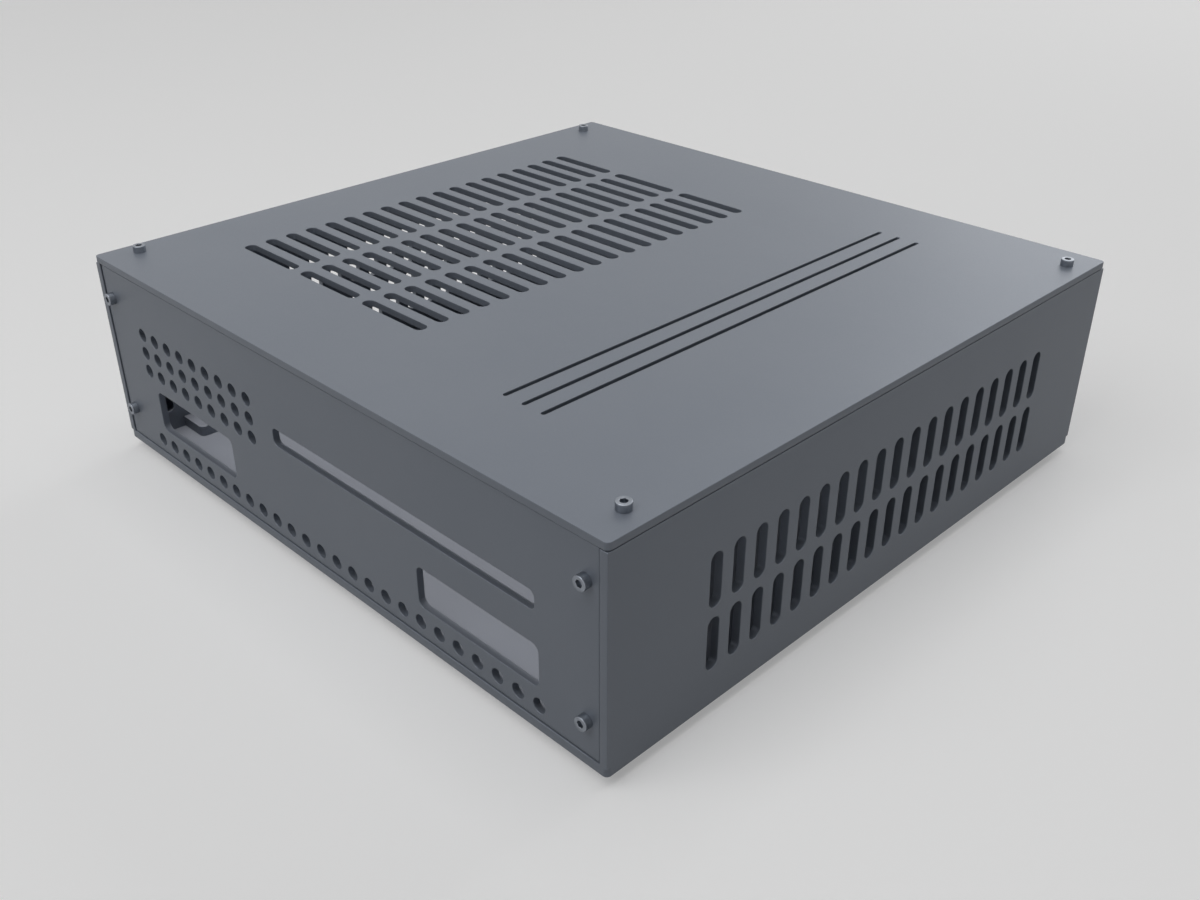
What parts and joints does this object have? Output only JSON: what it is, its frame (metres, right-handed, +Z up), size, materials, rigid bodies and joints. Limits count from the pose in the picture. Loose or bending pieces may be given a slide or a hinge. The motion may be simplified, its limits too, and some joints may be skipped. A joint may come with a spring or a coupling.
{
  "type": "server case",
  "caption": "Low, nearly square server case: a tray with slotted side walls and corner posts, screwed front and rear panels with vents and cut-outs, and a slotted lid.",
  "frame": {"origin": "under the middle of the case, on the surface that its feet stand on", "axes": "+X across the case to the right as seen from the front, +Y from the front panel to the rear panel, +Z up"},
  "size_m": [0.32, 0.315, 0.0994],
  "materials": {
    "case_metal": "bead-blasted and anodised in a satin blue-grey",
    "screw_steel": "grey zinc plating, satin",
    "nut_steel": "bright zinc plating",
    "foot_rubber": "matt moulded rubber",
    "standoff_brass": "turned brass"
  },
  "bodies": {
    "root": {"base_tray": "case_metal", "front_panel": "case_metal", "rear_panel": "case_metal", "lid": "case_metal", "lid_screw_front_left": "screw_steel", "lid_screw_front_right": "screw_steel", "lid_screw_rear_left": "screw_steel", "lid_screw_rear_right": "screw_steel", "lid_nut_front_left": "nut_steel", "lid_nut_front_right": "nut_steel", "lid_nut_rear_left": "nut_steel", "lid_nut_rear_right": "nut_steel", "front_screw_upper_left": "screw_steel", "front_screw_upper_right": "screw_steel", "front_screw_lower_left": "screw_steel", "front_screw_lower_right": "screw_steel", "front_nut_upper_left": "nut_steel", "front_nut_upper_right": "nut_steel", "front_nut_lower_left": "nut_steel", "front_nut_lower_right": "nut_steel", "rear_screw_upper_left": "screw_steel", "rear_screw_upper_right": "screw_steel", "rear_screw_lower_left": "screw_steel", "rear_screw_lower_right": "screw_steel", "rear_nut_upper_left": "nut_steel", "rear_nut_upper_right": "nut_steel", "rear_nut_lower_left": "nut_steel", "rear_nut_lower_right": "nut_steel", "foot_front_left": "foot_rubber", "foot_front_right": "foot_rubber", "foot_rear_left": "foot_rubber", "foot_rear_right": "foot_rubber", "foot_screw_front_left": "screw_steel", "foot_screw_front_right": "screw_steel", "foot_screw_rear_left": "screw_steel", "foot_screw_rear_right": "screw_steel", "standoff_front_left": "standoff_brass", "standoff_front_right": "standoff_brass", "standoff_rear_left": "standoff_brass", "standoff_rear_right": "standoff_brass"}
  },
  "joints": []
}
